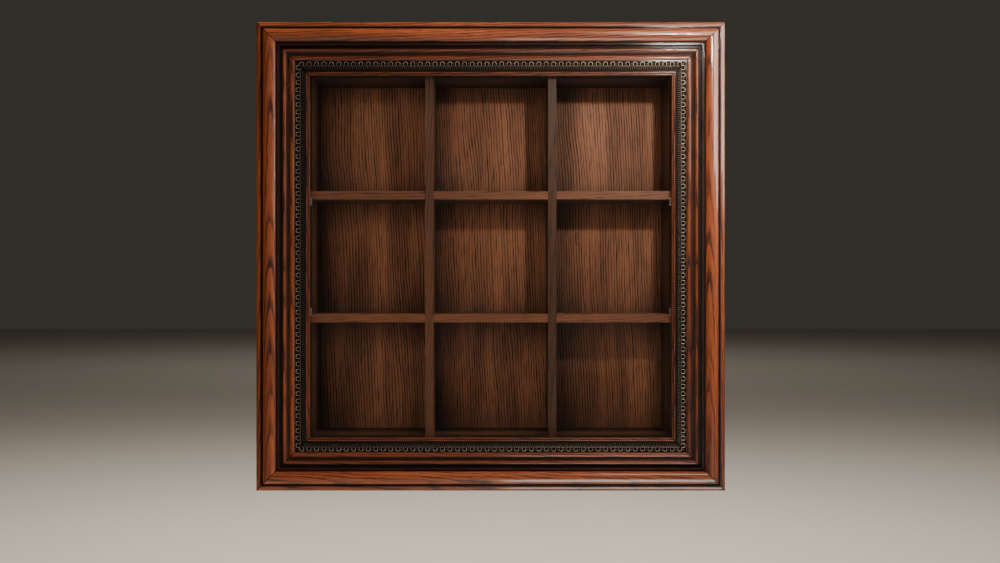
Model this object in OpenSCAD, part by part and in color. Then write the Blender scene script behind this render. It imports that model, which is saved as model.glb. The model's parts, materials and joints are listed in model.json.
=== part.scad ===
// Wall-hung display case: an oak box of nine compartments behind a hinged,
// glazed front frame of mitred oak moulding with an inlaid metal ornament.
// Front faces -Y, +X to the right, +Z up, wall plane at Y = 0. The origin is on
// the wall plane, midway between the two keyhole hangers.

/* [Front frame] */
// Outside width and height of the square frame
frame_size = 610; // [600:1:640]
// Half width of the sight opening in the frame
sight_half = 236.8; // [236.2:0.1:238]
// Thickness of the frame from its back to the crown of the torus
frame_thick = 32.5; // [31:0.5:36]
// Number of ornament repeats along each side
repeats = 52; // [40:1:60]

/* [Case] */
// Inside width and height of the case
inside = 470; // [466:1:472]
// Clear depth from the front of the shelves to the back panel
inside_depth = 92; // [70:1:140]
// Thickness of the case sides, top and bottom
side_thick = 18; // [17:0.5:19]
// Thickness of the shelves and dividers
shelf_thick = 11; // [9:0.5:14]
// Distance between the centres of the two shelves, and of the two dividers
grid_pitch = 162; // [150:1:168]
// Thickness of the back panel
panel_thick = 6; // [4:0.5:8]
// Thickness of the hanging rail behind the back panel
rail_thick = 12; // [11:0.5:16]
// Height of the hanging rail
rail_tall = 60; // [50:1:80]

/* [Glazing] */
// Thickness of the glass
glass_thick = 3; // [2:0.5:3]
// Distance of each turn button above or below the middle of the frame
button_z = 72.5; // [50:0.5:100]
// Width of a turn button
button_wide = 10.4; // [8:0.2:11]

/* [Hardware] */
// Distance between the two keyhole hangers, centre to centre
hanger_spacing = 406.4; // [300:0.1:420]
// Radius of a keyhole's entry hole
entry_r = 4.5; // [4:0.1:5]
// Half width of a keyhole's slot
slot_r = 2.25; // [2:0.05:2.5]
// Height of each hinge above or below the middle of the case
hinge_z = 150; // [125:1:170]
// Length of a hinge along its pin
hinge_long = 50; // [40:1:60]
// Outside radius of the hinge knuckles
knuckle_r = 2.8; // [2.6:0.1:3]
// Radius of the hinge pins
pin_r = 1.5; // [1.2:0.1:1.6]

/* [Hidden] */

$fn = 48;
fit = 0.05;          // clearance around screws, pins and let-in parts
big = 2000;          // size of a cutter that only has to be large enough
frame_half = frame_size / 2;
in_half = inside / 2;
out_half = in_half + side_thick;

// Planes across the depth, measured from the wall plane towards the room
panel_back_y = -rail_thick;
panel_front_y = panel_back_y - panel_thick;
case_front_y = panel_front_y - inside_depth;
door_gap = 1;
frame_back_y = case_front_y - door_gap;

// Case joints
rebate = 6;          // the back panel's rebate in the four case boards
corner_lap = side_thick / 2;
housing = 4;         // how far a shelf or divider end is let into the case
shelf_at = grid_pitch / 2;

// Glazing rebate and turn buttons, heights above the frame's back
glass_half = sight_half + 5.2;
rebate_half = glass_half + 0.5;
button_low = 2;
button_thick = 1.5;
glass_low = button_low + button_thick;
rebate_deep = glass_low + glass_thick;
button_pivot_x = rebate_half + button_wide / 2 + 0.5;
button_reach = button_pivot_x - in_half;
button_room = 0.45;  // clearance between a turn button and its pocket
button_sweep_r = norm([button_reach, button_wide / 2]) + button_room;
button_screw_r = 1.8;
button_screw_long = 9;

// Hinges, on the left: the pin stands beside the case, behind the frame
leaf_thick = 1.5;
leaf_wide = 22;
hinge_gap = 0.3;
hinge_x = -(out_half + hinge_gap + knuckle_r);
hinge_y = frame_back_y + hinge_gap + knuckle_r;
knuckle_long = (hinge_long - 2 * hinge_gap) / 3;
leaf_screw_r = 1.7;
leaf_screw_head_r = 3.1;
leaf_screw_long = 12;
leaf_screw_at = 14;  // from the pin's axis to the screws
leaf_screw_z = [-17, 0, 17];

// Magnetic catch on the right, bumpers in the corners
magnet_r = 3;
magnet_deep = 3;
strike_deep = 2;
catch_x = in_half + 13.5;
catch_z = 195;
bumper_r = 3.2;
bumper_thick = 0.85;
bumper_at = in_half + 12;

// Keyhole hangers
hang_drop = in_half - 27;   // origin above the middle of the case
plate_wide = 18;
plate_tall = 46;
plate_thick = 1.5;
slot_rise = 11;
pocket_deep = 8;
plate_screw_r = 1.5;
plate_screw_head_r = 2.7;
plate_screw_long = 8;
plate_screw_z = [-15, 18.5];
rail_screw_r = 2;
rail_screw_head_r = 3.8;
rail_screw_long = 32;
rail_screw_x = [-150, 0, 150];

// Back panel pins
panel_pin_r = 0.8;
panel_pin_long = 15;
panel_pin_head_r = 1.5;
panel_pin_head = 0.6;
panel_pin_at = in_half + rebate / 2;
panel_pin_spread = [-160, 0, 160];

// Mitre splines
spline_leg = 42;
spline_low = 8;
spline_thick = 3;

// Moulding section: [near, far, height] of each flat member, measured from the
// outside edge of the frame and from its back
ovolo_r = 6.2;       // quarter round along the outside edge
ovolo_seat = 20;
torus_r = 9.2;
torus_at = 17.75;
torus_near = 9.2;
torus_far = 26.3;
torus_seat = frame_thick - torus_r;
astragal_r = 2.2;
astragal_at = 36.5;
astragal_seat = 20.4;
cove_near = 38.7;
cove_far = 43.2;
cove_r = 6;
bead_r = 3.15;
bead_seat = 17.3;
seat_near = 50.4;    // the ornament's seat
seat_far = 62.4;
seat_low = 14.5;
lip_near = 64;
lip_r = 0.95;        // two small beads at the sight edge
section_wide = frame_half - sight_half;
members = [
    [0, ovolo_r, ovolo_seat],
    [ovolo_r, 7.6, ovolo_seat + ovolo_r + 0.4],
    [7.6, torus_near, torus_seat + 0.7],
    [torus_near, torus_far, torus_seat],
    [torus_far, 27.8, 22.5],
    [27.8, 30.2, 24.6],
    [30.2, astragal_at - astragal_r, astragal_seat - 0.6],
    [astragal_at - astragal_r, cove_near, astragal_seat],
    [cove_far, cove_far + 2 * bead_r, bead_seat],
    [cove_far + 2 * bead_r, seat_near, bead_seat + 0.9],
    [seat_near, seat_far, seat_low],
    [seat_far, lip_near, seat_low + 0.9],
    [lip_near, lip_near + 2 * lip_r, seat_low + 0.1],
    [lip_near + 2 * lip_r, section_wide - 2 * lip_r, seat_low - 1.5],
    [section_wide - 2 * lip_r, section_wide, seat_low - 0.9]
];

// Ornament strip, heights above the frame's back
ornament_gap = 0.1;
ornament_base = 2;
ornament_relief = 1.6;
scallop_r = 2.2;
scallop_at = 53.1;
cord_at = 56.2;
dentil_at = 60.2;
dentil_wide = 1.5;
dentil_long = 2.8;
ornament_line = frame_half - scallop_at;   // half length of the scallop row
repeat_pitch = 2 * ornament_line / repeats;

oak = [0.36, 0.16, 0.09];
dark_oak = [0.27, 0.15, 0.10];
pewter = [0.46, 0.40, 0.35];
steel = [0.62, 0.60, 0.57];
brass = [0.62, 0.50, 0.28];

// ---------------------------------------------------------------- helpers

// Puts the case's own middle below the origin, which is at the hangers
module place() {
    translate([0, 0, -hang_drop]) children();
}

module slab(x0, x1, y0, y1, z0, z1) {
    translate([x0, y0, z0]) cube([x1 - x0, y1 - y0, z1 - z0]);
}

// Countersunk screw, head at the origin and shank along -Z; grow is a clearance
module screw(shank_r, long, head_r, grow = 0) {
    head_deep = head_r - shank_r;
    translate([0, 0, -long - grow]) cylinder(r = shank_r + grow, h = long + grow);
    translate([0, 0, -head_deep]) cylinder(r1 = shank_r + grow, r2 = head_r + grow, h = head_deep);
}

module slotted_screw(shank_r, long, head_r) {
    difference() {
        screw(shank_r, long, head_r);
        translate([-big / 2, -0.4, -0.6]) cube([big, 0.8, big]);
    }
}

// Turns a child whose head is up (+Z) so that its head faces the given way
module facing_back() { rotate([-90, 0, 0]) children(); }
module facing_front() { rotate([90, 0, 0]) children(); }
module facing_left() { rotate([0, -90, 0]) children(); }

// Quarter turns about the frame's middle: 0 top, 1 right, 2 bottom, 3 left
module turned(quarter) {
    rotate([0, 90 * quarter, 0]) children();
}

// The wedge of the frame that belongs to its top member
module mitre_wedge() {
    translate([0, big / 2, 0]) rotate([90, 0, 0])
        linear_extrude(height = big) polygon([[0, 0], [big, big], [-big, big]]);
}

// Runs a section along X at the top of the frame: section X is the distance
// from the outside edge, section Y the height above the frame's back
module run_along_top() {
    translate([0, frame_back_y, frame_half]) rotate([180, 90, 0])
        linear_extrude(height = frame_size, center = true) children();
}

// ------------------------------------------------------------------- case

module shelf_housings() {
    for (side = [-1, 1])
        slab(-in_half - housing - fit, in_half + housing + fit, case_front_y - 1,
            panel_front_y + fit,
            side * shelf_at - shelf_thick / 2 - fit, side * shelf_at + shelf_thick / 2 + fit);
}

module divider_housings() {
    turned(1) shelf_housings();
}

module panel_rebate() {
    slab(-in_half - rebate, in_half + rebate, panel_front_y, 1, -in_half - rebate, in_half + rebate);
}

module side_board() {
    difference() {
        slab(in_half, out_half, case_front_y, 0, -out_half, out_half);
        for (end = [-1, 1])
            translate([in_half - 1, case_front_y - 1, end > 0 ? in_half : -out_half - 1])
                cube([corner_lap + 1, big, side_thick + 1]);
        shelf_housings();
        panel_rebate();
    }
}

module end_board() {
    difference() {
        slab(-in_half - corner_lap, in_half + corner_lap, case_front_y, 0, in_half, out_half);
        divider_housings();
        panel_rebate();
    }
}

module case_top() color(oak) place() difference() {
    end_board();
    panel_pin_holes();
    rail_screw_set(grow = fit);
}

module case_bottom() color(oak) place() difference() {
    turned(2) end_board();
    panel_pin_holes();
}

module case_right() color(oak) place() difference() {
    side_board();
    panel_pin_holes();
    magnet_set(grow = fit);
}

module case_left() color(oak) place() difference() {
    mirror([1, 0, 0]) side_board();
    panel_pin_holes();
    case_leaf_screw_set(grow = fit);
}

module back_panel() color(dark_oak) place() difference() {
    slab(-in_half - rebate + fit, in_half + rebate - fit, panel_front_y, panel_back_y,
        -in_half - rebate + fit, in_half + rebate - fit);
    panel_pin_holes();
}

module hanging_rail() color(oak) place() difference() {
    slab(-in_half - rebate + fit, in_half + rebate - fit, panel_back_y, 0,
        in_half + rebate - rail_tall, in_half + rebate);
    for (side = [-1, 1]) translate([side * hanger_spacing / 2, 0, hang_drop]) hanger_recess();
    plate_screw_set(grow = fit);
    rail_screw_set(grow = fit);
    panel_pin_holes();
}

// A shelf: its front half is notched so that the dividers run unbroken
module shelf() {
    difference() {
        slab(-in_half - housing, in_half + housing, case_front_y, panel_front_y,
            -shelf_thick / 2, shelf_thick / 2);
        for (side = [-1, 1])
            slab(side * shelf_at - shelf_thick / 2 - fit, side * shelf_at + shelf_thick / 2 + fit,
                case_front_y - 1, case_front_y + inside_depth / 2 + fit, -shelf_thick, shelf_thick);
    }
}

// A divider: its back half is notched to pass over the shelves
module divider() {
    difference() {
        slab(-shelf_thick / 2, shelf_thick / 2, case_front_y, panel_front_y,
            -in_half - housing, in_half + housing);
        for (side = [-1, 1])
            slab(-shelf_thick, shelf_thick, case_front_y + inside_depth / 2 - fit, panel_front_y + 1,
                side * shelf_at - shelf_thick / 2 - fit, side * shelf_at + shelf_thick / 2 + fit);
    }
}

module left_divider() color(dark_oak) place() translate([-shelf_at, 0, 0]) divider();
module right_divider() color(dark_oak) place() translate([shelf_at, 0, 0]) divider();
module upper_shelf() color(dark_oak) place() translate([0, 0, shelf_at]) shelf();
module lower_shelf() color(dark_oak) place() translate([0, 0, -shelf_at]) shelf();

// --------------------------------------------------------------- hangers

module keyhole_shape(grow = 0) {
    circle(r = entry_r + grow);
    translate([0, slot_rise]) circle(r = slot_r + grow);
    translate([-slot_r - grow, 0]) square([2 * (slot_r + grow), slot_rise]);
}

module plate_outline(grow = 0) {
    low = -plate_tall / 2 + 2;
    translate([-plate_wide / 2 - grow, low - grow])
        square([plate_wide + 2 * grow, plate_tall + 2 * grow]);
}

// Stands a flat shape drawn with Y up against the wall plane, from -deep to 0
module on_wall_plane(deep) {
    rotate([90, 0, 0]) linear_extrude(height = deep) children();
}

module hanger_recess() {
    on_wall_plane(plate_thick + fit) plate_outline(fit);
    on_wall_plane(pocket_deep) keyhole_shape(entry_r - slot_r + 1);
}

module keyhole_plate(side) color(steel) place() difference() {
    translate([side * hanger_spacing / 2, 0, hang_drop]) on_wall_plane(plate_thick) difference() {
        plate_outline();
        keyhole_shape();
    }
    plate_screw_set(grow = fit);
}

module left_keyhole_plate() keyhole_plate(-1);
module right_keyhole_plate() keyhole_plate(1);

module plate_screw_set(grow = 0, slotted = false) {
    for (side = [-1, 1], z = plate_screw_z)
        translate([side * hanger_spacing / 2, 0, hang_drop + z]) facing_back()
            if (slotted) slotted_screw(plate_screw_r, plate_screw_long, plate_screw_head_r);
            else screw(plate_screw_r, plate_screw_long, plate_screw_head_r, grow);
}

module keyhole_plate_screws() color(steel) place() plate_screw_set(slotted = true);

module rail_screw_set(grow = 0, slotted = false) {
    for (x = rail_screw_x)
        translate([x, panel_back_y / 2, out_half])
            if (slotted) slotted_screw(rail_screw_r, rail_screw_long, rail_screw_head_r);
            else screw(rail_screw_r, rail_screw_long, rail_screw_head_r, grow);
}

module hanging_rail_screws() color(brass) place() rail_screw_set(slotted = true);

// One pin, its head on the back of the panel and its shank towards the room
module panel_pin(grow = 0) {
    translate([0, panel_back_y, 0]) facing_back() {
        translate([0, 0, -panel_pin_long]) cylinder(r = panel_pin_r + grow, h = panel_pin_long + grow);
        translate([0, 0, -panel_pin_head]) cylinder(r = panel_pin_head_r + grow, h = panel_pin_head);
    }
}

module panel_pin_set(grow = 0) {
    for (quarter = [0:3], x = panel_pin_spread)
        turned(quarter) translate([x, 0, panel_pin_at]) panel_pin(grow);
}

module panel_pin_holes() { panel_pin_set(grow = fit / 2); }
module back_panel_pins() color(steel) place() panel_pin_set();

// ---------------------------------------------------------------- hinges

// Height of the middle knuckle, which belongs to the frame's leaf
module knuckle(middle) {
    step = knuckle_long + hinge_gap;
    for (place_z = middle ? [0] : [-step, step])
        translate([0, 0, place_z - knuckle_long / 2]) difference() {
            cylinder(r = knuckle_r, h = knuckle_long);
            translate([0, 0, -1]) cylinder(r = pin_r + fit, h = knuckle_long + 2);
        }
}

// Keeps a leaf clear of the other leaf's knuckles
module knuckle_room(middle) {
    step = knuckle_long + hinge_gap;
    for (place_z = middle ? [0] : [-step, step])
        translate([0, 0, place_z - knuckle_long / 2 - hinge_gap])
            cylinder(r = knuckle_r + hinge_gap, h = knuckle_long + 2 * hinge_gap);
}

module hinge_seat(up) translate([hinge_x, hinge_y, up * hinge_z]) children();

module case_leaf(up) color(brass) place() difference() {
    hinge_seat(up) {
        difference() {
            translate([-hinge_x - out_half - leaf_thick, 0, -hinge_long / 2])
                cube([leaf_thick, leaf_wide, hinge_long]);
            knuckle_room(middle = true);
            translate([0, 0, -hinge_long]) cylinder(r = pin_r + fit, h = 2 * hinge_long);
        }
        knuckle(middle = false);
    }
    case_leaf_screw_set(grow = fit);
}

module frame_leaf(up) color(brass) place() difference() {
    hinge_seat(up) {
        difference() {
            translate([-leaf_wide, -hinge_gap - knuckle_r, -hinge_long / 2])
                cube([leaf_wide, leaf_thick, hinge_long]);
            knuckle_room(middle = false);
            translate([0, 0, -hinge_long]) cylinder(r = pin_r + fit, h = 2 * hinge_long);
        }
        knuckle(middle = true);
    }
    frame_leaf_screw_set(grow = fit);
}

module upper_hinge_case_leaf() case_leaf(1);
module lower_hinge_case_leaf() case_leaf(-1);
module upper_hinge_frame_leaf() frame_leaf(1);
module lower_hinge_frame_leaf() frame_leaf(-1);

module hinge_pin(up) color(steel) place() hinge_seat(up) {
    cylinder(r = pin_r, h = hinge_long, center = true);
    for (end = [-1, 1])
        translate([0, 0, end * (hinge_long / 2 + 0.6)])
            cylinder(r = knuckle_r - 0.3, h = 1.2, center = true);
}

module upper_hinge_pin() hinge_pin(1);
module lower_hinge_pin() hinge_pin(-1);

module leaf_screw(grow, slotted) {
    if (slotted) slotted_screw(leaf_screw_r, leaf_screw_long, leaf_screw_head_r);
    else screw(leaf_screw_r, leaf_screw_long, leaf_screw_head_r, grow);
}

module case_leaf_screw_set(grow = 0, slotted = false) {
    for (up = [-1, 1], z = leaf_screw_z)
        translate([-out_half - leaf_thick, hinge_y + leaf_screw_at, up * hinge_z + z])
            facing_left() leaf_screw(grow, slotted);
}

module frame_leaf_screw_set(grow = 0, slotted = false) {
    for (up = [-1, 1], z = leaf_screw_z)
        translate([hinge_x - leaf_screw_at, frame_back_y + leaf_thick, up * hinge_z + z])
            facing_back() leaf_screw(grow, slotted);
}

module case_hinge_screws() color(brass) place() case_leaf_screw_set(slotted = true);
module frame_hinge_screws() color(brass) place() frame_leaf_screw_set(slotted = true);

// ---------------------------------------------------- catches and bumpers

module magnet_set(grow = 0) {
    for (side = [-1, 1])
        translate([catch_x, case_front_y, side * catch_z]) facing_front()
            translate([0, 0, -magnet_deep - grow]) cylinder(r = magnet_r + grow, h = magnet_deep + grow);
}

module strike_set(grow = 0) {
    for (side = [-1, 1])
        translate([catch_x, frame_back_y, side * catch_z]) facing_front()
            cylinder(r = magnet_r + grow, h = strike_deep + grow);
}

module catch_magnets() color(steel) place() magnet_set();
module catch_strikes() color(steel) place() strike_set();

module bumper_pads() color([0.1, 0.1, 0.1]) place()
    for (x = [-1, 1], z = [-1, 1])
        translate([x * bumper_at, case_front_y, z * bumper_at]) facing_front()
            cylinder(r = bumper_r, h = bumper_thick);

// ----------------------------------------------------------------- frame

// A round of radius r about a point, kept between two distances from the edge
module rounded_member(at, seat, r, near, far) {
    intersection() {
        translate([at, seat]) circle(r = r);
        translate([near, 0]) square([far - near, frame_thick]);
    }
}

module moulding_section() {
    for (member = members)
        translate([member[0], 0]) square([member[1] - member[0] + 0.001, member[2]]);
    rounded_member(ovolo_r, ovolo_seat, ovolo_r, 0, ovolo_r);
    rounded_member(torus_at, torus_seat, torus_r, torus_near, torus_far);
    rounded_member(astragal_at, astragal_seat, astragal_r, 0, cove_near);
    difference() {
        translate([cove_near, 0]) square([cove_far - cove_near + 0.001, astragal_seat]);
        translate([cove_far, bead_seat + cove_r]) circle(r = cove_r);
    }
    rounded_member(cove_far + bead_r, bead_seat, bead_r, cove_far, cove_far + 2 * bead_r);
    rounded_member(lip_near + lip_r, seat_low + 0.1, lip_r, lip_near, section_wide);
    rounded_member(section_wide - lip_r, seat_low - 0.9, lip_r, lip_near, section_wide);
}

// Lets the turn buttons into the back of the stiles, level with the glass
module button_pockets() {
    pocket_half = button_pivot_x + button_wide / 2 + button_room;
    for (z = [-button_z, button_z])
        slab(-pocket_half, pocket_half, frame_back_y - glass_low, frame_back_y + 1,
            z - button_sweep_r, z + button_sweep_r);
}

module frame_cuts() {
    slab(-rebate_half, rebate_half, frame_back_y - rebate_deep, frame_back_y + 1,
        -rebate_half, rebate_half);
    button_pockets();
    for (x = [-1, 1], z = [-1, 1])
        translate([x * button_pivot_x, 0, z * button_z]) button_screw(grow = fit);
    frame_leaf_screw_set(grow = fit);
    strike_set(grow = fit);
    spline_set(grow = fit);
}

module frame_member(quarter) color(oak) place() difference() {
    intersection() {
        turned(quarter) run_along_top() moulding_section();
        turned(quarter) mitre_wedge();
    }
    frame_cuts();
}

module frame_top_rail() frame_member(0);
module frame_right_stile() frame_member(1);
module frame_bottom_rail() frame_member(2);
module frame_left_stile() frame_member(3);

// A thin triangular key across each mitre, let in from the outside corner
module spline_set(grow = 0) {
    for (quarter = [0:3])
        turned(quarter) translate([frame_half, frame_back_y - spline_low + grow, frame_half])
            rotate([90, 0, 0]) linear_extrude(height = spline_thick + 2 * grow)
                polygon([[0, 0], [-spline_leg - grow, 0], [0, -spline_leg - grow]]);
}

module mitre_splines() color(dark_oak) place() spline_set();

module ornament_section() {
    translate([seat_near + ornament_gap, seat_low])
        square([seat_far - seat_near - 2 * ornament_gap, ornament_base]);
    translate([cord_at, seat_low + ornament_base]) circle(r = ornament_relief / 2);
}

// Scallops on the outer row and a pair of dentils on the inner row per repeat
module ornament_relief_run() {
    low_y = frame_back_y - seat_low - ornament_base + 0.2;
    for (i = [1:repeats - 1]) {
        x = -ornament_line + i * repeat_pitch;
        translate([x, low_y, frame_half - scallop_at]) facing_front()
            cylinder(r = scallop_r, h = ornament_relief + 0.2);
        if (abs(x) < ornament_line - 1.5 * repeat_pitch)
            for (half = [-1, 1])
                translate([x + half * repeat_pitch / 4 - dentil_wide / 2, low_y - 1.2,
                        frame_half - dentil_at - dentil_long / 2])
                    cube([dentil_wide, 1.2, dentil_long]);
    }
}

module ornament(quarter) color(pewter) place() turned(quarter) {
    intersection() {
        run_along_top() ornament_section();
        mitre_wedge();
    }
    ornament_relief_run();
}

module top_ornament() ornament(0);
module right_ornament() ornament(1);
module bottom_ornament() ornament(2);
module left_ornament() ornament(3);

// --------------------------------------------------------------- glazing

module glass_pane() color([0.8, 0.85, 0.85, 0.3]) place()
    slab(-glass_half, glass_half, frame_back_y - rebate_deep, frame_back_y - glass_low,
        -glass_half, glass_half);

// Round-headed screw that a turn button swings on; the head faces the case
module button_screw(grow = 0) {
    head_low = 0.35;
    translate([0, frame_back_y - button_low + fit, 0]) facing_front()
        cylinder(r = button_screw_r + grow, h = button_screw_long + grow);
    translate([0, frame_back_y - head_low, 0]) facing_front()
        cylinder(r = 3.2 + grow, h = button_low - fit - head_low);
}

module turn_button_screws() color(steel) place()
    for (x = [-1, 1], z = [-1, 1]) translate([x * button_pivot_x, 0, z * button_z])
        difference() {
            button_screw();
            translate([-big / 2, frame_back_y - 1, -0.4]) cube([big, big, 0.8]);
        }

// Square tip towards the glass, round end about the pivot
module turn_button(side, up) color(steel) place()
    translate([side * button_pivot_x, frame_back_y - button_low, up * button_z]) facing_front()
        linear_extrude(height = button_thick) difference() {
            union() {
                circle(r = button_wide / 2);
                translate([side > 0 ? -button_reach : 0, -button_wide / 2])
                    square([button_reach, button_wide]);
            }
            circle(r = button_screw_r + fit);
        }

module upper_left_turn_button() turn_button(-1, 1);
module lower_left_turn_button() turn_button(-1, -1);
module upper_right_turn_button() turn_button(1, 1);
module lower_right_turn_button() turn_button(1, -1);

// ------------------------------------------------------------------ nodes

case_top();
case_bottom();
case_left();
case_right();
back_panel();
hanging_rail();
left_divider();
right_divider();
upper_shelf();
lower_shelf();
left_keyhole_plate();
right_keyhole_plate();
keyhole_plate_screws();
hanging_rail_screws();
back_panel_pins();
upper_hinge_case_leaf();
lower_hinge_case_leaf();
upper_hinge_pin();
lower_hinge_pin();
case_hinge_screws();
catch_magnets();
bumper_pads();
frame_top_rail();
frame_bottom_rail();
frame_left_stile();
frame_right_stile();
mitre_splines();
top_ornament();
bottom_ornament();
left_ornament();
right_ornament();
glass_pane();
upper_hinge_frame_leaf();
lower_hinge_frame_leaf();
frame_hinge_screws();
catch_strikes();
turn_button_screws();
upper_left_turn_button();
lower_left_turn_button();
upper_right_turn_button();
lower_right_turn_button();
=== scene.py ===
"""Looks of a wall-hung oak display case: nine compartments behind a hinged, glazed
front frame of mitred moulding with an inlaid egg-and-dart strip in aged metal."""

import json
import math

import bpy
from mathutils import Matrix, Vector


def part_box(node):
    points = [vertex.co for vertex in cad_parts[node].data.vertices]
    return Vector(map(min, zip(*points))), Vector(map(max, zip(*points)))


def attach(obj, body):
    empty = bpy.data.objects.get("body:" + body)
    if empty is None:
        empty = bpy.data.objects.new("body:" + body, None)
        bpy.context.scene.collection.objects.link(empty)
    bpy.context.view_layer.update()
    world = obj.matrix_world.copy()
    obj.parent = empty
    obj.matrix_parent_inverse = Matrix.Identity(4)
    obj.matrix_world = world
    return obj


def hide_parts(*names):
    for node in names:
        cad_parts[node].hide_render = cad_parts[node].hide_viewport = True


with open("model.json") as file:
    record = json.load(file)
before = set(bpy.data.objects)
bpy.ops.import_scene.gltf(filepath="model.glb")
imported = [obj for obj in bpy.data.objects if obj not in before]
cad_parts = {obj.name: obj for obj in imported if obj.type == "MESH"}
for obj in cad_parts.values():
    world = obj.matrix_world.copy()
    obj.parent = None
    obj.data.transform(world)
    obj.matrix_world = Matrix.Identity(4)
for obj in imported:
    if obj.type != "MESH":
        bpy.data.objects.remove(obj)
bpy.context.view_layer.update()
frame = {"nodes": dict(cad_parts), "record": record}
nodes = frame["nodes"]

MM = 0.001

# Places worked out from the frame
RAIL_LOW, RAIL_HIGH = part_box("frame_top_rail")
HALF = RAIL_HIGH.x
TOP = RAIL_HIGH.z
MIDDLE = TOP - HALF
FRONT = RAIL_LOW.y
BACK = RAIL_HIGH.y
STRIP_LOW, STRIP_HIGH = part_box("top_ornament")
STRIP_NEAR = TOP - STRIP_HIGH.z
STRIP_FAR = TOP - STRIP_LOW.z
SEAT = BACK - STRIP_HIGH.y

# How dark each member of the moulding is made, part glaze and part painted shade: distance in from the
# outside edge in mm, and darkness
GLAZE_AND_SHADE_REACH = 70
GLAZE_AND_SHADE_MEMBERS = ((0, 0.1), (6, 0.2), (6.4, 0.92), (9.2, 0.92), (10, 0.0), (25.2, 0.1), (26.6, 0.96),
                 (27.8, 0.92), (28.2, 0.9), (29.9, 0.9), (30.3, 0.98), (34.2, 0.98), (35, 0.3),
                 (38, 0.3), (39.4, 0.9), (42.6, 0.85), (44, 0.2), (49, 0.4), (50.6, 0.97),
                 (63.8, 0.97), (64.2, 0.3), (65.6, 0.3), (66, 0.97), (66.5, 0.4), (68, 0.6))


# ---------------------------------------------------------------- node trees

def srgb(red, green, blue):
    """A colour given as 0 to 255 screen values, in the linear form that shaders take."""
    def linear(value):
        value /= 255
        return value / 12.92 if value <= 0.04045 else ((value + 0.055) / 1.055) ** 2.4
    return (linear(red), linear(green), linear(blue), 1)


class Tree:
    """A material's node tree, with short ways to add and join its nodes."""

    def __init__(self, name):
        self.material = bpy.data.materials.new(name)
        self.material.use_nodes = True
        self.tree = self.material.node_tree
        self.tree.nodes.clear()
        self.output = self.tree.nodes.new("ShaderNodeOutputMaterial")

    def add(self, kind, inputs=None, out=0, **settings):
        made = self.tree.nodes.new("ShaderNode" + kind)
        for key, value in settings.items():
            setattr(made, key, value)
        for key, value in (inputs or {}).items():
            self.feed(made.inputs[key], value)
        return made.outputs[out]

    def feed(self, socket, value):
        if isinstance(value, bpy.types.NodeSocket):
            self.tree.links.new(value, socket)
        else:
            socket.default_value = value

    def maths(self, operation, *values, clamp=False):
        return self.add("Math", dict(enumerate(values)), operation=operation, use_clamp=clamp)

    def vector(self, x, y, z):
        return self.add("CombineXYZ", {0: x, 1: y, 2: z})

    def scaled(self, axes, scales):
        return self.vector(*[self.maths("MULTIPLY", axis, scale) for axis, scale in zip(axes, scales)])

    def noise(self, vector, detail=2.0, rough=0.5, distort=0.0, out="Fac"):
        return self.add("TexNoise", {"Vector": vector, "Scale": 1.0, "Detail": detail,
                                     "Roughness": rough, "Distortion": distort}, out=out)

    def remap(self, value, low, high, to_low=0.0, to_high=1.0):
        return self.add("MapRange", {"Value": value, "From Min": low, "From Max": high,
                                     "To Min": to_low, "To Max": to_high},
                        interpolation_type="SMOOTHSTEP")

    def mix(self, factor, first, second):
        return self.add("Mix", {0: factor, 6: first, 7: second}, out=2, data_type="RGBA")

    def split(self, vector, kind="SeparateXYZ"):
        node = self.tree.nodes.new("ShaderNode" + kind)
        self.tree.links.new(vector, node.inputs[0])
        return node.outputs

    def object_axes(self):
        """Place in metres: the CAD's own x, y and z, since every piece keeps its origin at zero."""
        return self.split(self.add("TexCoord", out="Object"))

    def bump(self, height, depth, strength=1.0):
        return self.add("Bump", {"Height": height, "Distance": depth, "Strength": strength})

    def principled(self, **inputs):
        named = {key.replace("_", " "): value for key, value in inputs.items()}
        shader = self.add("BsdfPrincipled", named)
        self.tree.links.new(shader, self.output.inputs["Surface"])
        return self.material


def bent_fibres(t, run, cross, deep, wander):
    """Moves the two axes across the grain a little, so that the fibres wander along the board."""
    drift = t.noise(t.scaled((run, cross, deep), (5.0, 13.0, 13.0)), detail=2.5, out="Color")
    sway = t.split(drift, "SeparateColor")
    bend = wander * MM * 2
    cross_in = t.maths("MULTIPLY_ADD", t.maths("SUBTRACT", sway[0], 0.5), bend, cross)
    deep_in = t.maths("MULTIPLY_ADD", t.maths("SUBTRACT", sway[1], 0.5), bend, deep)
    return cross_in, deep_in


def early_wood(t, run, cross_in, deep_in, ring, pith, taper):
    """1 in the open early part of each growth ring and 0 in the dense late part."""
    span = t.vector(t.maths("SUBTRACT", cross_in, pith[0]), t.maths("SUBTRACT", deep_in, pith[1]), 0)
    distance = t.add("VectorMath", {0: span}, out="Value", operation="LENGTH")
    distance = t.maths("MULTIPLY_ADD", run, taper, distance)
    rings = t.maths("DIVIDE", distance, ring * MM)
    season = t.add("TexWhiteNoise", {"W": t.maths("FLOOR", rings)}, noise_dimensions="1D")
    rings = t.maths("FRACT", rings)
    early = t.maths("MULTIPLY", t.remap(rings, 0.0, 0.08), t.remap(rings, 0.55, 0.14))
    return t.maths("MULTIPLY", early, t.maths("MULTIPLY_ADD", season, 0.6, 0.4))


def open_pores(t, run, cross_in, deep_in, early):
    """Long open pores, thickest in the early wood."""
    pores = t.noise(t.scaled((run, cross_in, deep_in), (34.0, 760.0, 760.0)), detail=2.0, rough=0.55)
    pores = t.remap(pores, 0.48, 0.62)
    return t.maths("MULTIPLY", pores, t.maths("MULTIPLY_ADD", early, 0.75, 0.25))


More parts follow.
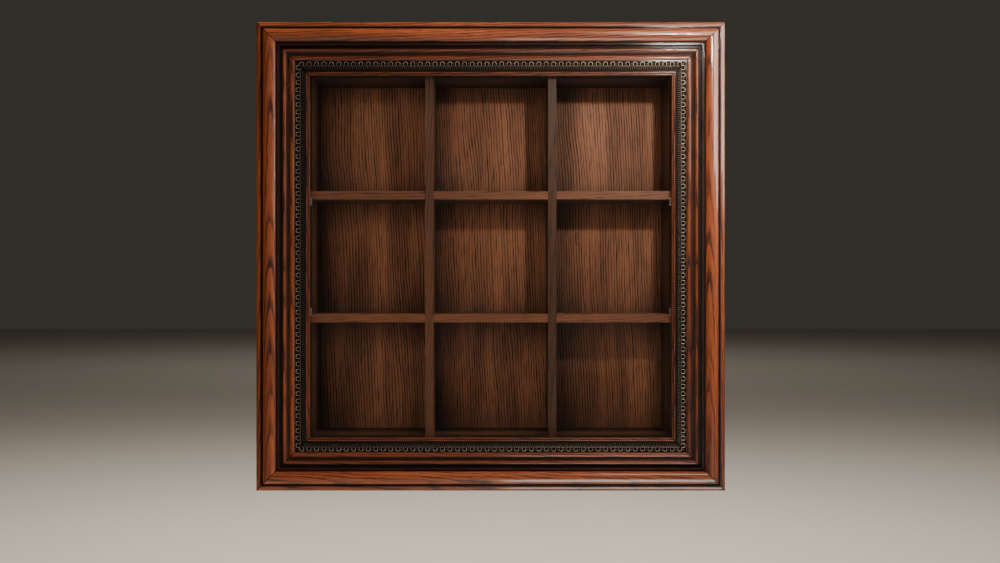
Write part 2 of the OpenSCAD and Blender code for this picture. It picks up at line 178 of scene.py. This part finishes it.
def stained_oak(name, along, seed, light, dark, pore, ring=4.6, pith=(0.11, 0.05), taper=0.05,
                wander=7.0, contrast=1.0, coat=0.2, polish=0.25, glaze_and_shade=None):
    """Open-grained oak under stain and varnish. Growth rings stand round a pith beside
    the board, so flat faces get arches and edges get straight lines; along is the grain."""
    t = Tree(name)
    x, y, z = t.object_axes()
    run, cross = (x, z) if along == "X" else (z, x)
    run = t.maths("ADD", run, seed[0])
    cross = t.maths("ADD", cross, seed[1])
    deep = t.maths("ADD", y, seed[2])
    cross_in, deep_in = bent_fibres(t, run, cross, deep, wander)
    early = early_wood(t, run, cross_in, deep_in, ring, pith, taper)
    pores = open_pores(t, run, cross_in, deep_in, early)
    fibre = t.noise(t.scaled((run, cross, deep), (45.0, 2300.0, 2300.0)), detail=1.0)
    tone = t.noise(t.scaled((run, cross_in, deep_in), (3.2, 34.0, 34.0)), detail=3.0)

    shade = t.maths("MULTIPLY", early, 0.62 * contrast)
    shade = t.maths("ADD", shade, t.remap(tone, 0.34, 0.68, -0.1, 0.42))
    shade = t.maths("MULTIPLY_ADD", fibre, 0.18, t.maths("SUBTRACT", shade, 0.06), clamp=True)
    colour = t.mix(shade, srgb(*light), srgb(*dark))
    colour = t.mix(t.maths("MULTIPLY", pores, 0.85 * contrast, clamp=True), colour, srgb(*pore))
    rough = t.maths("MULTIPLY_ADD", pores, 0.2, t.remap(tone, 0.3, 0.7, 0.45, 0.58))
    # Darkens toward the pore colour, rougher and with less coat, as the given darkening asks: glaze and
    # painted shade on the moulding, painted shade in the case's corners
    if glaze_and_shade:
        glaze_and_shade_mask = glaze_and_shade(t, x, z)
        colour = t.mix(glaze_and_shade_mask, colour, srgb(*pore))
        rough = t.maths("MULTIPLY_ADD", glaze_and_shade_mask, 0.25, rough)
        if coat:
            coat = t.maths("MULTIPLY_ADD", glaze_and_shade_mask, -coat, coat)

    relief = t.maths("MULTIPLY_ADD", fibre, 0.12, t.maths("MULTIPLY", early, -0.3))
    relief = t.maths("SUBTRACT", relief, pores)
    return t.principled(Base_Color=colour, Roughness=rough, Normal=t.bump(relief, 0.14 * MM, 0.5),
                        Coat_Weight=coat, Coat_Roughness=polish, Specular_IOR_Level=0.2,
                        Coat_Normal=t.bump(relief, 0.06 * MM, 0.4))


def moulding_glaze_and_shade(t, x, z):
    """Darkening of the moulding, part glaze and part painted shade: dark glaze left in the mitre joints
    and wiped off the round members, and painted shade in the hollows, from ambient occlusion and from a
    darkness listed for each member.
    The flat back of the frame keeps only a little of it."""
    across = t.maths("ABSOLUTE", x)
    upright = t.maths("ABSOLUTE", t.maths("SUBTRACT", z, MIDDLE))
    inset = t.maths("SUBTRACT", HALF, t.maths("MAXIMUM", across, upright))
    ramp = t.tree.nodes.new("ShaderNodeValToRGB")
    t.feed(ramp.inputs[0], t.maths("DIVIDE", inset, GLAZE_AND_SHADE_REACH * MM))
    points = ramp.color_ramp.elements
    while len(points) < len(GLAZE_AND_SHADE_MEMBERS):
        points.new(1)
    for point, (distance, depth) in zip(points, GLAZE_AND_SHADE_MEMBERS):
        point.position = distance / GLAZE_AND_SHADE_REACH
        point.color = (depth, depth, depth, 1)
    shelter = t.add("AmbientOcclusion", {"Distance": 9 * MM}, out="AO", samples=6, only_local=True)
    # Painted shade: darker where ambient occlusion finds the moulding sheltered
    painted_hollow_shade = t.remap(shelter, 0.1, 0.55, 0.9, 0.0)
    joint = t.maths("ABSOLUTE", t.maths("SUBTRACT", across, upright))
    joint = t.remap(joint, 0.5 * MM, 1.1 * MM, 0.95, 0.0)
    towards_back = t.split(t.add("TexCoord", out="Normal"))[1]
    moulded = t.remap(towards_back, 0.5, 0.9, 1.0, 0.25)
    members = t.maths("MULTIPLY", t.maths("MAXIMUM", painted_hollow_shade, ramp.outputs[0]), moulded)
    return t.maths("MAXIMUM", members, joint)


def painted_corner_shade(t, x, z):
    """Painted shade: darker where the boards of the case meet and in its corners, found by ambient
    occlusion.
    Takes x and z as the moulding's darkening does, though the shelter depends on the shapes alone."""
    shelter = t.add("AmbientOcclusion", {"Distance": 60 * MM}, out="AO", samples=6)
    return t.remap(shelter, 0.1, 0.75, 0.8, 0.0)


def aged_pewter():
    """Dull silvery metal, bright where it stands up and dark with patina in the hollows."""
    t = Tree("aged_pewter")
    x, y, z = t.object_axes()
    height = t.maths("SUBTRACT", BACK - SEAT, y)
    mottle = t.noise(t.scaled((x, y, z), (420.0, 420.0, 420.0)), detail=4.0, rough=0.6)
    raised = t.remap(height, 2.6 * MM, 3.15 * MM)
    rubbed = t.maths("MULTIPLY", raised, t.remap(mottle, 0.25, 0.55, 0.55, 1.0))
    colour = t.mix(rubbed, srgb(16, 11, 8), srgb(134, 120, 106))
    colour = t.mix(t.remap(mottle, 0.55, 0.78, 0.0, 0.5), colour, srgb(46, 33, 25))
    return t.principled(Base_Color=colour, Metallic=t.maths("MULTIPLY_ADD", raised, -0.4, 1.0),
                        Roughness=t.maths("MULTIPLY_ADD", rubbed, -0.38, 0.72),
                        Normal=t.bump(mottle, 0.08 * MM, 0.5))


def worn_metal(name, bright, dull, rough, speckle=600.0):
    """Plated or bare hardware with a brushed surface and tarnish in patches."""
    t = Tree(name)
    axes = t.object_axes()
    brush = t.noise(t.scaled(axes, (300.0, 300.0, 5000.0)), detail=2.0)
    patch = t.noise(t.scaled(axes, (speckle, speckle, speckle)), detail=5.0, rough=0.65)
    colour = t.mix(t.remap(patch, 0.42, 0.72), srgb(*bright), srgb(*dull))
    return t.principled(Base_Color=colour, Metallic=1.0,
                        Roughness=t.maths("MULTIPLY_ADD", patch, 0.2, rough - 0.1),
                        Normal=t.bump(brush, 0.03 * MM, 0.5))


# Share of light that clear glass throws back when looked at squarely
GLASS_SHINE = 0.034


def clear_glass():
    """Thin clear pane: light and sight pass straight through, with faint wipe marks. Its shine
    follows the facing angle alone, since a Fresnel node would mirror wholly from inside."""
    t = Tree("clear_glass")
    wipe = t.noise(t.scaled(t.object_axes(), (9.0, 9.0, 22.0)), detail=5.0, rough=0.62)
    gloss = t.add("BsdfGlossy", {"Color": (1, 1, 1, 1),
                                 "Roughness": t.remap(wipe, 0.35, 0.7, 0.0, 0.015)})
    clear = t.add("BsdfTransparent", {"Color": (0.972, 0.985, 0.978, 1)})
    facing = t.add("LayerWeight", {"Blend": 0.5}, out="Facing")
    edge = t.maths("MULTIPLY_ADD", t.maths("POWER", facing, 5.0), 1 - GLASS_SHINE, GLASS_SHINE)
    shine = t.maths("MULTIPLY", edge, t.maths("SUBTRACT", 1.0, t.add("LightPath", out="Is Shadow Ray")))
    pane = t.add("MixShader", {0: shine, 1: clear, 2: gloss})
    t.tree.links.new(pane, t.output.inputs["Surface"])
    return t.material


def soft_rubber():
    """Dull dark rubber for the bumper pads."""
    t = Tree("soft_rubber")
    grain = t.noise(t.scaled(t.object_axes(), (1500.0, 1500.0, 1500.0)), detail=3.0)
    return t.principled(Base_Color=t.mix(grain, srgb(24, 23, 22), srgb(46, 44, 42)),
                        Roughness=t.remap(grain, 0.3, 0.7, 0.6, 0.8), Normal=t.bump(grain, 0.05 * MM))


def plain_floor():
    """Pale warm floor, faintly clouded."""
    t = Tree("plain_floor")
    cloud = t.noise(t.scaled(t.object_axes(), (0.8, 0.8, 0.0)), detail=4.0)
    return t.principled(Base_Color=t.mix(cloud, srgb(196, 188, 176), srgb(208, 200, 189)),
                        Roughness=0.75)


# ------------------------------------------------------------------- meshes

def finish_mesh(name, vertices, faces, material, body):
    """Makes a smooth-shaded piece of the given mesh and puts it on its body."""
    mesh = bpy.data.meshes.new(name)
    mesh.from_pydata(vertices, [], faces)
    mesh.validate()
    mesh.polygons.foreach_set("use_smooth", [True] * len(mesh.polygons))
    mesh.set_sharp_from_angle(angle=math.radians(50))
    piece = bpy.data.objects.new(name, mesh)
    bpy.context.scene.collection.objects.link(piece)
    piece.data.materials.append(material)
    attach(piece, body)
    return piece


class Relief:
    """Gathers raised work on a flat strip. Points are (along, out, height): along the
    side, distance in from the outside edge, and height above the frame's back, in mm."""

    def __init__(self, quarter):
        angle = math.radians(90 * quarter)
        self.along = Vector((math.cos(angle), 0, -math.sin(angle)))
        self.inward = Vector((-math.sin(angle), 0, -math.cos(angle)))
        self.corner = Vector((0, 0, MIDDLE)) - self.inward * HALF
        self.vertices = []
        self.faces = []

    def point(self, along, out, height):
        place = self.corner + self.along * along * MM + self.inward * out * MM
        self.vertices.append((place.x, BACK - height * MM, place.z))
        return len(self.vertices) - 1

    def skin(self, rings):
        """Joins rings of equal length into a closed surface, capping the two ends."""
        for first, second in zip(rings, rings[1:]):
            count = len(first)
            for i in range(count):
                j = (i + 1) % count
                self.faces.append((first[i], first[j], second[j], second[i]))
        self.faces.append(tuple(reversed(rings[0])))
        self.faces.append(tuple(rings[-1]))

    def cord(self, path, radius, base, sides=8, flat=0.8):
        """A round ridge along a path of (along, out) points, rounded off at both ends."""
        rings = []
        last = len(path) - 1
        for i, (along, out) in enumerate(path):
            ahead = path[min(i + 1, last)]
            behind = path[max(i - 1, 0)]
            run = math.hypot(ahead[0] - behind[0], ahead[1] - behind[1]) or 1
            side = (-(ahead[1] - behind[1]) / run, (ahead[0] - behind[0]) / run)
            size = radius * (0.45 if i in (0, last) else 1)
            ring = []
            for k in range(sides):
                turn = 2 * math.pi * k / sides
                across = size * math.cos(turn)
                ring.append(self.point(along + side[0] * across, out + side[1] * across,
                                       base + size * flat * math.sin(turn)))
            rings.append(ring)
        self.skin(rings)

    def dome(self, along, out, wide, long, tall, base, sides=12, steps=4):
        """A low egg-shaped boss."""
        rings = []
        for step in range(steps + 1):
            lift = math.radians(-20 + 105 * step / steps)
            ring = [self.point(along + wide * math.cos(lift) * math.cos(turn),
                               out + long * math.cos(lift) * math.sin(turn),
                               base + tall * math.sin(lift))
                    for turn in (2 * math.pi * k / sides for k in range(sides))]
            rings.append(ring)
        self.skin(rings)

    def plate(self, near, far, low, high, half):
        """The strip itself, mitred at both ends."""
        ring_low = []
        ring_high = []
        for out in (near, far):
            for end in ((-1, 1) if out == near else (1, -1)):
                ring_low.append(self.point(end * (half - out), out, low))
                ring_high.append(self.point(end * (half - out), out, high))
        self.skin([ring_low, ring_high])


# The ornament on one side: eggs, radius of the loop round each, and teeth to each egg
REPEATS = 52
LOOP_R = 2.65
DENTILS_EACH = 4


def egg_and_dart(quarter, name, material):
    """One side of the ornament: loops round eggs, darts, a cord and a row of dentils, in mm."""
    side = Relief(quarter)
    half = HALF / MM
    near = STRIP_NEAR / MM
    far = STRIP_FAR / MM
    seat = SEAT / MM
    floor = seat + 2.0
    row = near + 3.2
    cord_at = near + 6.1
    pitch = 2 * (half - row) / REPEATS
    side.plate(near, far, seat, floor, half)
    add_cords(side, half, cord_at, far, floor)
    add_eggs(side, half, near, row, cord_at, pitch, floor)
    add_dentils(side, half, row, cord_at, far, pitch, floor)

    # A leaf lying along the mitre at the right-hand end of each side
    corner = half - near - 1.3
    side.cord([(corner, near + 1.3), (corner - 0.8, near + 2.1), (corner - 2.6, near + 3.9),
               (corner - 4.4, near + 5.7)], 0.75, floor + 0.3)
    return finish_mesh(name, side.vertices, side.faces, material, "front_frame")


def add_cords(side, half, cord_at, far, floor):
    """Cord and inner fillet, run into the mitres."""
    for out, radius in ((cord_at, 0.6), (far - 0.45, 0.4)):
        reach = half - out - radius * 0.4
        count = REPEATS * DENTILS_EACH
        path = [(reach * (2 * i / count - 1), out) for i in range(count + 1)]
        side.cord(path, radius, floor + 0.45)


def add_eggs(side, half, near, row, cord_at, pitch, floor):
    """Eggs, each in a loop, with a dart between one loop and the next."""
    for i in range(REPEATS):
        at = -(half - row) + (i + 0.5) * pitch
        arch = [(at + LOOP_R * math.cos(turn), row - LOOP_R * 0.95 * math.sin(turn))
                for turn in (math.pi * k / 10 for k in range(11))]
        foot = LOOP_R * 0.82
        path = [(at + foot, cord_at - 0.3)] + arch + [(at - foot, cord_at - 0.3)]
        side.cord(path, 0.5, floor + 0.8)
        side.dome(at, row + 0.45, 1.3, 1.9, 0.75, floor)
        if i < REPEATS - 1:
            dart = at + pitch / 2
            side.cord([(dart, near + 0.9), (dart, near + 1.5), (dart, row + 1.2), (dart, cord_at - 0.5)],
                      0.5, floor + 0.45)


def add_dentils(side, half, row, cord_at, far, pitch, floor):
    """A row of small teeth inside the cord, cut off by the mitres."""
    for i in range(REPEATS * DENTILS_EACH):
        at = -(half - row) + (i + 0.5) * pitch / DENTILS_EACH
        end = min(far - 1.0, half - abs(at) - 0.6)
        if end > cord_at + 2.2:
            side.cord([(at, cord_at + 1.1), (at, cord_at + 1.5), (at, end - 0.4), (at, end)],
                      0.45, floor + 0.4, flat=1.1)


def soften(node, width, material):
    """Welds a CAD node's split edges and rounds its arrises a little, as sanding does."""
    piece = nodes[node]
    piece.data.polygons.foreach_set("use_smooth", [True] * len(piece.data.polygons))
    for slot in piece.material_slots:
        slot.material = material
    weld = piece.modifiers.new("weld", "WELD")
    weld.merge_threshold = 0.002 * MM
    if width:
        bevel = piece.modifiers.new("arris", "BEVEL")
        bevel.width = width * MM
        bevel.segments = 2
        bevel.limit_method = "ANGLE"
        bevel.angle_limit = math.radians(32)
        bevel.miter_outer = "MITER_ARC"
        bevel.harden_normals = True
    even = piece.modifiers.new("even", "WEIGHTED_NORMAL")
    even.keep_sharp = True


# ------------------------------------------------------- materials on the CAD

FRAME_LIGHT = (140, 69, 35)
FRAME_DARK = (64, 26, 14)
FRAME_PORE = (17, 9, 6)
SHELF_LIGHT = (108, 63, 42)
SHELF_DARK = (60, 34, 23)
# The left divider is painted lighter than the right one: painted light standing in for the stronger
# light that falls on it
LEFT_DIVIDER_PAINTED_LIT = (90, 53, 36)
DIVIDER_LIGHT = (66, 39, 26)
DIVIDER_DARK = (40, 23, 16)
WALL_LIGHT = (74, 43, 28)
WALL_DARK = (42, 25, 17)
CASE_PORE = (15, 9, 6)
PANEL_LIGHT = (152, 96, 68)
PANEL_DARK = (58, 34, 24)


def dress_frame():
    boards = {
        "frame_top_rail": ("X", (0.31, 0.02, 0.0), (0.33, -0.10)),
        "frame_bottom_rail": ("X", (1.27, 0.9, 0.2), (0.36, 0.02)),
        "frame_left_stile": ("Z", (2.11, 0.29, 0.4), (0.02, 0.20)),
        "frame_right_stile": ("Z", (3.05, 0.61, 0.6), (0.86, 0.40)),
    }
    for node, (along, seed, pith) in boards.items():
        material = stained_oak("oak_" + node, along, seed, FRAME_LIGHT, FRAME_DARK, FRAME_PORE,
                               ring=3.6, pith=pith, wander=10.0, contrast=1.35,
                               coat=0.6, polish=0.13, glaze_and_shade=moulding_glaze_and_shade)
        soften(node, 0.35, material)
    spline = stained_oak("oak_mitre_splines", "X", (5.2, 0.7, 0.1), FRAME_DARK, (70, 30, 16),
                         FRAME_PORE, coat=0.4)
    soften("mitre_splines", 0, spline)


def dress_case():
    # Walls carry painted shade in their corners, and so does the back panel below
    wall = (WALL_LIGHT, WALL_DARK, painted_corner_shade)
    divider = (DIVIDER_LIGHT, DIVIDER_DARK, None)
    # Painted light: the left divider gets the lighter colour
    painted_lit_divider = (LEFT_DIVIDER_PAINTED_LIT, DIVIDER_DARK, None)
    shelf = (SHELF_LIGHT, SHELF_DARK, None)
    boards = {
        "case_top": ("X", (4.1, 0.3, 0.2), wall),
        "case_bottom": ("X", (4.9, 1.1, 0.5), wall),
        "case_left": ("Z", (5.7, 0.5, 0.9), wall),
        "case_right": ("Z", (6.3, 1.7, 1.3), wall),
        "hanging_rail": ("X", (7.4, 0.1, 0.7), divider),
        "left_divider": ("Z", (8.2, 0.8, 0.4), painted_lit_divider),
        "right_divider": ("Z", (8.9, 1.4, 0.1), divider),
        "upper_shelf": ("X", (9.6, 0.6, 0.9), shelf),
        "lower_shelf": ("X", (10.3, 1.9, 0.3), shelf),
    }
    for node, (along, seed, (light, dark, glaze_and_shade)) in boards.items():
        pith = (seed[1] + 0.12, seed[2] - 0.2)
        material = stained_oak("oak_" + node, along, seed, light, dark, CASE_PORE,
                               ring=4.0, pith=pith, glaze_and_shade=glaze_and_shade)
        soften(node, 0.3, material)
    panel = stained_oak("oak_back_panel", "Z", (11.0, 0.0, 0.0), PANEL_LIGHT, PANEL_DARK, CASE_PORE,
                        ring=3.5, pith=(-0.42, 0.09), wander=8.0, contrast=1.5, coat=0.0,
                        glaze_and_shade=painted_corner_shade)
    soften("back_panel", 0.3, panel)


def dress_hardware():
    steel = worn_metal("zinc_plated_steel", (196, 192, 184), (128, 122, 114), 0.36)
    brass = worn_metal("aged_brass", (186, 150, 92), (104, 76, 44), 0.34, 260.0)
    nickel = worn_metal("nickel_plated_magnet", (206, 204, 200), (160, 156, 150), 0.24)
    rubber = soft_rubber()
    slots = {entry["node"]: entry["material_slot"] for entry in frame["record"]["subparts"]}
    for node, slot in slots.items():
        if slot == "steel":
            soften(node, 0.12, nickel if node == "catch_magnets" else steel)
        elif slot == "brass":
            soften(node, 0.12, brass)
        elif slot == "rubber":
            soften(node, 0.2, rubber)
    soften("glass_pane", 0.3, clear_glass())


def dress_ornament():
    pewter = aged_pewter()
    for quarter, side in enumerate(("top", "right", "bottom", "left")):
        piece = egg_and_dart(quarter, side + "_egg_and_dart", pewter)
        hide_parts(side + "_ornament")


# ------------------------------------------------------------ stage and light

WARM = (1.0, 0.95, 0.88)
KEY_COLOUR = (1.0, 0.91, 0.78)
ROOM_COLOUR = (66, 64, 58)
ROOM_STRENGTH = 0.7

# Height of the case above the stage floor, and how far the floor runs, in metres
FLOOR_GAP = 0.34
FLOOR_HALF_WIDTH = 14.0
FLOOR_NEAR = -5.0
FLOOR_FAR = 16.0

# Where the camera stands from the middle of the front, in metres
CAMERA_RIGHT = 0.0122
CAMERA_BELOW = 0.0326
CAMERA_AWAY = 1.796


def aimed(piece, place, target):
    piece.location = place
    piece.rotation_euler = (Vector(target) - Vector(place)).to_track_quat("-Z", "Y").to_euler()


def add_light(name, place, target, size, power, colour=(1, 1, 1), tall=None, spread=180):
    lamp = bpy.data.lights.new(name, "AREA")
    lamp.shape = "RECTANGLE" if tall else "DISK"
    lamp.size = size
    if tall:
        lamp.size_y = tall
    lamp.energy = power
    lamp.color = colour
    lamp.spread = math.radians(spread)
    holder = bpy.data.objects.new(name, lamp)
    bpy.context.scene.collection.objects.link(holder)
    aimed(holder, place, target)
    return holder


def add_stage():
    low = MIDDLE - HALF - FLOOR_GAP
    mesh = bpy.data.meshes.new("floor")
    corners = [(-FLOOR_HALF_WIDTH, FLOOR_NEAR, low), (FLOOR_HALF_WIDTH, FLOOR_NEAR, low),
               (FLOOR_HALF_WIDTH, FLOOR_FAR, low), (-FLOOR_HALF_WIDTH, FLOOR_FAR, low)]
    mesh.from_pydata(corners, [], [(0, 1, 2, 3)])
    floor = bpy.data.objects.new("floor", mesh)
    bpy.context.scene.collection.objects.link(floor)
    floor.data.materials.append(plain_floor())


def from_middle(x, y, z):
    """A place given from the middle of the case's front."""
    return Vector((0, FRONT, MIDDLE)) + Vector((x, y, z))


def add_fills():
    """Soft light that fills without showing in the varnish."""
    fills = (
        add_light("front_soft", from_middle(-0.8, -1.9, 0.25), from_middle(-0.15, 0, -0.1),
                  1.4, 22.0, WARM, tall=1.2),
        add_light("right_graze", from_middle(2.0, -0.55, 0.15), from_middle(0, 0, 0),
                  0.5, 5.0, WARM, tall=0.5, spread=70),
        add_light("top_graze", from_middle(0.15, -0.5, 1.5), from_middle(0.1, 0, -0.2),
                  0.7, 6.0, WARM, tall=0.3, spread=80),
        add_light("floor_wash", (0, 1.1, 1.6), (0, 1.3, -1.0), 2.4, 96.0, WARM, tall=1.1),
        add_light("far_wash", (0, 8.0, 3.5), (0, 8.2, -1.0), 5.0, 50.0, WARM, tall=2.5),
    )
    for fill in fills:
        fill.visible_glossy = False


def add_boxes():
    """Boxes that draw the bright lines along the moulding and light little else."""
    boxes = (
        add_light("top_box", from_middle(0.65, -0.70, 0.95), from_middle(0.35, 0, 0.25),
                  0.9, 13.0, WARM, tall=0.35),
        add_light("right_box", from_middle(0.5, -0.10, 0.42), from_middle(0.5, 0.1, 0.42),
                  0.28, 10.0, WARM, tall=0.6, spread=150),
        add_light("edge_box", from_middle(0.62, -0.01, 0.38), from_middle(0.3, -0.01, 0.38),
                  0.16, 4.5, WARM, tall=0.6),
        add_light("low_box", from_middle(0.42, -0.32, -0.60), from_middle(0.42, -0.31, -0.3),
                  0.8, 11.0, WARM, tall=0.4),
    )
    for box in boxes:
        box.visible_diffuse = False
        box.visible_camera = False


def add_lights():
    """A small warm key that throws the shelves' shadows, then fills and highlights."""
    add_light("key", from_middle(0.34, -0.82, 0.42), from_middle(0.29, 0.05, 0.28),
              0.06, 1.1, KEY_COLOUR, spread=58)
    add_fills()
    add_boxes()


def add_world():
    world = bpy.data.worlds.new("room")
    world.use_nodes = True
    background = world.node_tree.nodes["Background"]
    background.inputs[0].default_value = srgb(*ROOM_COLOUR)
    background.inputs[1].default_value = ROOM_STRENGTH
    bpy.context.scene.world = world


def add_camera():
    """Looks straight at the front, from a little right of and below the middle."""
    lens = bpy.data.cameras.new("camera")
    lens.lens = 50
    lens.sensor_width = 36
    holder = bpy.data.objects.new("camera", lens)
    bpy.context.scene.collection.objects.link(holder)
    holder.location = (CAMERA_RIGHT, FRONT - CAMERA_AWAY, MIDDLE - CAMERA_BELOW)
    holder.rotation_euler = (math.radians(90), 0, 0)
    bpy.context.scene.camera = holder


add_camera()
add_world()
add_stage()
add_lights()
dress_frame()
dress_case()
dress_hardware()
dress_ornament()
